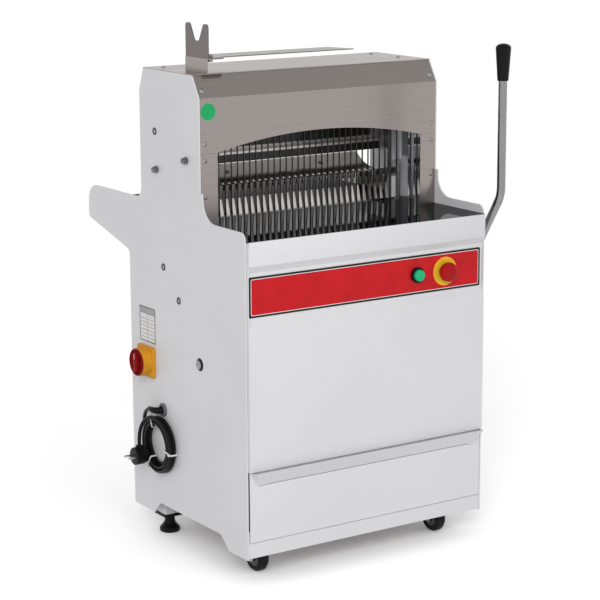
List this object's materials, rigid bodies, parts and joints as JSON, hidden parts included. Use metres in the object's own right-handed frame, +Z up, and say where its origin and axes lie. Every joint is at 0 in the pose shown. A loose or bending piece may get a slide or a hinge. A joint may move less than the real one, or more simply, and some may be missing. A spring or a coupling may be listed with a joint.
{
  "type": "bread slicer",
  "caption": "Floor-standing bread slicer: white cabinet, arched steel hood over a row of upright saw blades, lever-driven pusher, crumb drawer and bag tray.",
  "frame": {"origin": "on the floor, under the middle of the machine's outline without its mains lead", "axes": "+X to the right seen from the front, +Y from the front to the back, +Z up"},
  "size_m": [0.691, 0.691, 1.1045],
  "materials": {
    "white_paint": "light grain powder coat",
    "fascia_red": "satin printed film",
    "polished_steel": "near mirror",
    "satin_steel": "fine brushed",
    "frame_steel": "plain machined",
    "bright_steel": "ground",
    "chrome": "polished",
    "cast_iron": "machined casting",
    "motor_grey": "satin paint",
    "belt_rubber": "matte",
    "black_plastic": "satin",
    "grey_plastic": "satin",
    "green_plastic": "glossy lens",
    "red_plastic": "satin gloss",
    "yellow_plastic": "satin",
    "zinc_steel": "zinc plated",
    "wheel_rubber": "hard rubber",
    "cord_black": "matte sheath"
  },
  "bodies": {
    "cabinet": {"left_side_panel": "white_paint", "right_side_panel": "white_paint", "front_panel": "white_paint", "base_frame": "white_paint", "back_panel": "white_paint", "control_fascia": "fascia_red", "front_table": "polished_steel", "slotted_bed": "polished_steel", "rear_table": "polished_steel", "channel_walls": "polished_steel", "top_cover": "satin_steel", "hood_face": "satin_steel", "hood_posts": "satin_steel", "rear_guard": "satin_steel", "bag_bracket": "satin_steel", "drive_shelf": "frame_steel", "guide_brackets": "frame_steel", "guide_blocks": "frame_steel", "carriage_rails": "frame_steel", "drawer_runners": "frame_steel", "guide_rods": "bright_steel", "casing_screws": "bright_steel", "cap_nuts": "chrome", "bearing_stands": "cast_iron", "motor": "motor_grey", "drive_belt": "belt_rubber", "lever_bushes": "black_plastic", "levelling_feet": "black_plastic", "start_bezel": "grey_plastic", "cable_gland": "grey_plastic", "stop_ring": "yellow_plastic", "isolator_plate": "yellow_plastic", "cord_coil": "cord_black", "mains_plug": "cord_black"},
    "start_button": {"start_button": "green_plastic"},
    "stop_button": {"stop_button": "red_plastic"},
    "isolator_knob": {"isolator_knob": "red_plastic"},
    "drawer": {"drawer_front": "white_paint", "crumb_tray": "satin_steel"},
    "frame_a": {"blade_frame_a": "frame_steel", "blades_a": "bright_steel", "connecting_rod_a": "frame_steel"},
    "frame_b": {"blade_frame_b": "frame_steel", "blades_b": "bright_steel", "connecting_rod_b": "frame_steel"},
    "crank": {"crankshaft": "frame_steel", "drive_pulley": "cast_iron"},
    "motor_shaft": {"motor_pulley": "cast_iron"},
    "pusher": {"pusher_beam": "polished_steel", "pusher_fingers": "satin_steel", "pusher_shield": "polished_steel", "pusher_carriage": "frame_steel"},
    "lever": {"lever_shaft": "frame_steel", "lever_rod": "chrome", "lever_grip": "black_plastic"},
    "caster_left": {"caster_fork_left": "zinc_steel"},
    "wheel_left": {"caster_wheel_left": "wheel_rubber"},
    "caster_right": {"caster_fork_right": "zinc_steel"},
    "wheel_right": {"caster_wheel_right": "wheel_rubber"},
    "bag_tray": {"bag_tray": "satin_steel"}
  },
  "joints": [
    {"name": "start_press", "type": "slide", "parent": "cabinet", "child": "start_button", "axis": [0, 1, 0], "range_m": [0, 0.004], "stiffness_N_per_m": 400, "springref_m": -0.002},
    {"name": "stop_press", "type": "slide", "parent": "cabinet", "child": "stop_button", "axis": [0, 1, 0], "range_m": [0, 0.005]},
    {"name": "isolator_turn", "type": "hinge", "parent": "cabinet", "child": "isolator_knob", "pos_m": [-0.312, 0.0925, 0.386], "axis": [-1, 0, 0], "range_deg": [0, 90]},
    {"name": "drawer_slide", "type": "slide", "parent": "cabinet", "child": "drawer", "axis": [0, -1, 0], "range_m": [0, 0.3]},
    {"name": "frame_a_slide", "type": "slide", "parent": "cabinet", "child": "frame_a", "axis": [0, 0, 1], "range_m": [-0.015, 0.015]},
    {"name": "frame_b_slide", "type": "slide", "parent": "cabinet", "child": "frame_b", "axis": [0, 0, 1], "range_m": [-0.015, 0.015]},
    {"name": "crank_turn", "type": "hinge", "parent": "cabinet", "child": "crank", "pos_m": [0, -0.0395, 0.33], "axis": [1, 0, 0], "continuous": true},
    {"name": "motor_turn", "type": "hinge", "parent": "cabinet", "child": "motor_shaft", "pos_m": [0, 0.0915, 0.305], "axis": [1, 0, 0], "continuous": true},
    {"name": "lever_swing", "type": "hinge", "parent": "cabinet", "child": "lever", "pos_m": [0, -0.1235, 0.421], "axis": [-1, 0, 0], "range_deg": [0, 62]},
    {"name": "pusher_slide", "type": "slide", "parent": "cabinet", "child": "pusher", "axis": [0, 1, 0], "range_m": [0, 0.2585]},
    {"name": "caster_left_swivel", "type": "hinge", "parent": "cabinet", "child": "caster_left", "pos_m": [-0.226, -0.2445, 0.08], "axis": [0, 0, 1], "continuous": true},
    {"name": "wheel_left_roll", "type": "hinge", "parent": "caster_left", "child": "wheel_left", "pos_m": [-0.226, -0.2265, 0.03], "axis": [1, 0, 0], "continuous": true},
    {"name": "caster_right_swivel", "type": "hinge", "parent": "cabinet", "child": "caster_right", "pos_m": [0.226, -0.2445, 0.08], "axis": [0, 0, 1], "continuous": true},
    {"name": "wheel_right_roll", "type": "hinge", "parent": "caster_right", "child": "wheel_right", "pos_m": [0.226, -0.2265, 0.03], "axis": [1, 0, 0], "continuous": true},
    {"name": "bag_tray_swivel", "type": "hinge", "parent": "cabinet", "child": "bag_tray", "pos_m": [-0.246, -0.0985, 1.0375], "axis": [0, 0, -1], "range_deg": [0, 90]}
  ],
  "couplings": [
    {"joint": "frame_b_slide", "follows": "frame_a_slide", "ratio": -1},
    {"joint": "motor_turn", "follows": "crank_turn", "ratio": 2.5},
    {"joint": "pusher_slide", "follows": "lever_swing", "m_per_rad": 0.23798}
  ]
}
